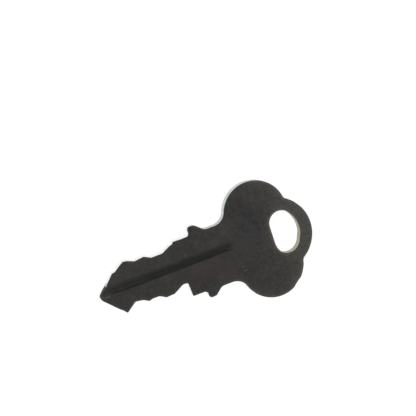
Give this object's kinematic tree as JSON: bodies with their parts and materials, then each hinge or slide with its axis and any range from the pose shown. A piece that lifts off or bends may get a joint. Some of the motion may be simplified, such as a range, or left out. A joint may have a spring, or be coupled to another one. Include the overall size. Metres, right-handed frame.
{
  "type": "ignition key",
  "caption": "Flat one-piece key with a three-lobed bow, a D-shaped ring hole, stop shoulders and a grooved blade cut on both edges.",
  "frame": {"origin": "on the underside of the bow, midway between the centres of its two side lobes, where the key lies on a flat surface", "axes": "+X from the tip to the bow along the key's axis, +Y across the key towards the shallow-cut edge, +Z through the plate towards the face with the upper groove"},
  "size_m": [0.0401, 0.0218, 0.0021],
  "materials": {
    "key_metal": "dark oxidised faces with faint mottling and handling scratches, brighter bare metal on the sheared and cut edges"
  },
  "bodies": {
    "root": {"key": "key_metal"}
  },
  "joints": []
}
